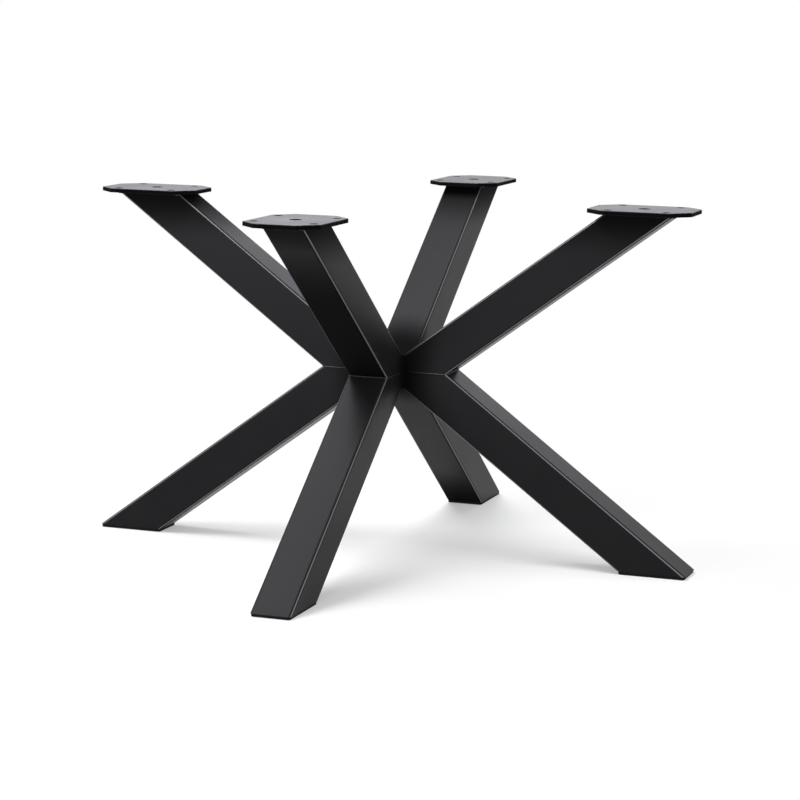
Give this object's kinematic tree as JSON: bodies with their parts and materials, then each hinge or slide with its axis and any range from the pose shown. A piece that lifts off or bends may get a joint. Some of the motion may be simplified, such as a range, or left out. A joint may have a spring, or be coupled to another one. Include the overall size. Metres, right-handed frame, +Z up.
{
  "type": "table base",
  "caption": "Spider table base of mitred square steel tube, with V-shaped legs meeting on a central axis, screw plates on top and level foot caps.",
  "frame": {"origin": "on the floor, under the vertical axis where the legs meet", "axes": "+Z up along that axis; X and Y run along the table's sides, with the legs on the diagonals"},
  "size_m": [0.9196, 0.9196, 0.7],
  "materials": {
    "coated_steel": "satin",
    "cap_plastic": "matte"
  },
  "bodies": {
    "root": {"rear_right_upper_arm": "coated_steel", "rear_right_lower_arm": "coated_steel", "rear_right_top_plate": "coated_steel", "rear_right_foot_cap": "cap_plastic", "rear_left_upper_arm": "coated_steel", "rear_left_lower_arm": "coated_steel", "rear_left_top_plate": "coated_steel", "rear_left_foot_cap": "cap_plastic", "front_left_upper_arm": "coated_steel", "front_left_lower_arm": "coated_steel", "front_left_top_plate": "coated_steel", "front_left_foot_cap": "cap_plastic", "front_right_upper_arm": "coated_steel", "front_right_lower_arm": "coated_steel", "front_right_top_plate": "coated_steel", "front_right_foot_cap": "cap_plastic"}
  },
  "joints": []
}
